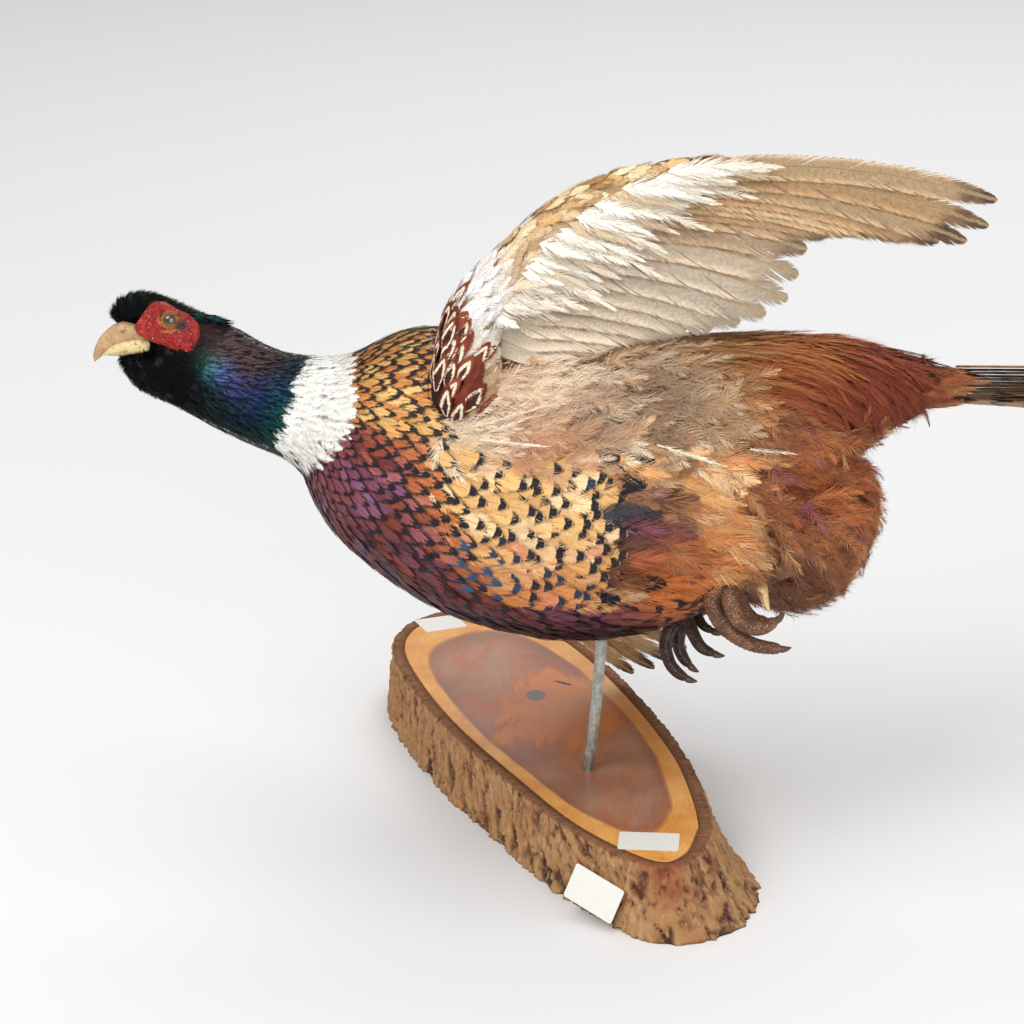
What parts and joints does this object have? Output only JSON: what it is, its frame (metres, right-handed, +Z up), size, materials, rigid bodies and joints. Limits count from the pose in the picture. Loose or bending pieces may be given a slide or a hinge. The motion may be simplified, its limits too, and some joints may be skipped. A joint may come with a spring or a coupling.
{
  "type": "mounted cock pheasant",
  "caption": "Mounted cock pheasant in banking flight, one wing raised and the tail straight out, on a wire rod over an oval slab of wood with bark.",
  "frame": {"origin": "on the underside of the wood slab, below the foot of the rod", "axes": "+Z up, -X the way the bird flies, -Y towards the bird's left side, from which the raised wing's underside is seen"},
  "size_m": [0.8429, 0.36, 0.3473],
  "materials": {
    "plumage_dark": "black-green feathers with a blue and green sheen",
    "ring_white": "white feathers",
    "plumage_gold": "golden to maroon feathers, each edged with black",
    "plumage_rust": "long rust-red feathers",
    "plumage_fluff": "brown down",
    "wing_buff": "buff flight feathers",
    "tail_barred": "tan feathers with black bars",
    "wattle_red": "matt red skin",
    "bill_horn": "cream-tan horn",
    "eye_glass": "amber glass eye",
    "leg_scale": "brown scaled skin with a varnish",
    "claw_horn": "dark horn",
    "spur_cream": "cream horn",
    "slab_wood": "varnished cross-cut wood",
    "slab_bark": "rough bark",
    "rod_steel": "dull grey wire"
  },
  "bodies": {
    "root": {"rump": "plumage_rust", "torso": "plumage_gold", "neck_ring": "ring_white", "neck": "plumage_dark", "head": "plumage_dark", "vent": "plumage_fluff", "bill_upper": "bill_horn", "bill_lower": "bill_horn", "tail": "tail_barred", "base_wood": "slab_wood", "base_bark": "slab_bark", "rod": "rod_steel", "eye_left": "eye_glass", "wattle_left": "wattle_red", "ear_tuft_left": "plumage_dark", "shank_left": "leg_scale", "foot_left": "leg_scale", "spur_left": "spur_cream", "thigh_left": "plumage_fluff", "claw_left_1": "claw_horn", "claw_left_2": "claw_horn", "claw_left_3": "claw_horn", "claw_left_4": "claw_horn", "wing_left_shoulder": "wing_buff", "wing_left_forearm": "wing_buff", "wing_left_hand": "wing_buff", "eye_right": "eye_glass", "wattle_right": "wattle_red", "ear_tuft_right": "plumage_dark", "shank_right": "leg_scale", "foot_right": "leg_scale", "spur_right": "spur_cream", "thigh_right": "plumage_fluff", "claw_right_1": "claw_horn", "claw_right_2": "claw_horn", "claw_right_3": "claw_horn", "claw_right_4": "claw_horn", "wing_right_shoulder": "wing_buff", "wing_right_forearm": "wing_buff", "wing_right_hand": "wing_buff"}
  },
  "joints": []
}
